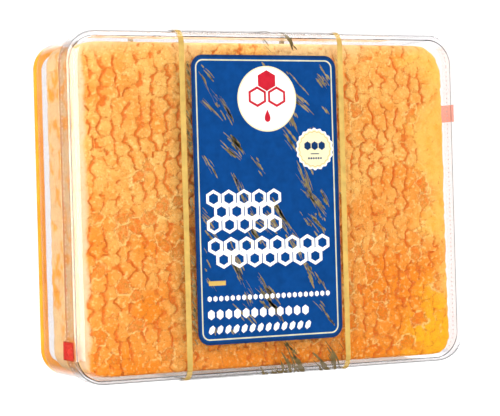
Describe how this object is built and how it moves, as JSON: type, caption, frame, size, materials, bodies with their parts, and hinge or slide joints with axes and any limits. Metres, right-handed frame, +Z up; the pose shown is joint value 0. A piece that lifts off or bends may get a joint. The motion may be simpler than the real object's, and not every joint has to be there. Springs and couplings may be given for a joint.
{
  "type": "boxed honeycomb",
  "caption": "Slab of capped honeycomb in a shut clear plastic box that stands on its long edge, with a clear film sleeve round its middle and a red seal tape on each side.",
  "frame": {"origin": "middle of the footprint, on the surface that the pack stands on", "axes": "+Z up, -Y out of the lid, +X to the right as seen from the lid's side"},
  "size_m": [0.1466, 0.0436, 0.1153],
  "materials": {
    "clear_plastic": "clear gloss",
    "clear_film": "clear gloss, with printed fields of colour",
    "honeycomb_wax": "waxy satin",
    "red_tape": "satin"
  },
  "bodies": {
    "root": {"tray": "clear_plastic", "lid": "clear_plastic", "honeycomb": "honeycomb_wax", "sleeve": "clear_film", "seal_tape_left": "red_tape", "seal_tape_right": "red_tape"}
  },
  "joints": []
}
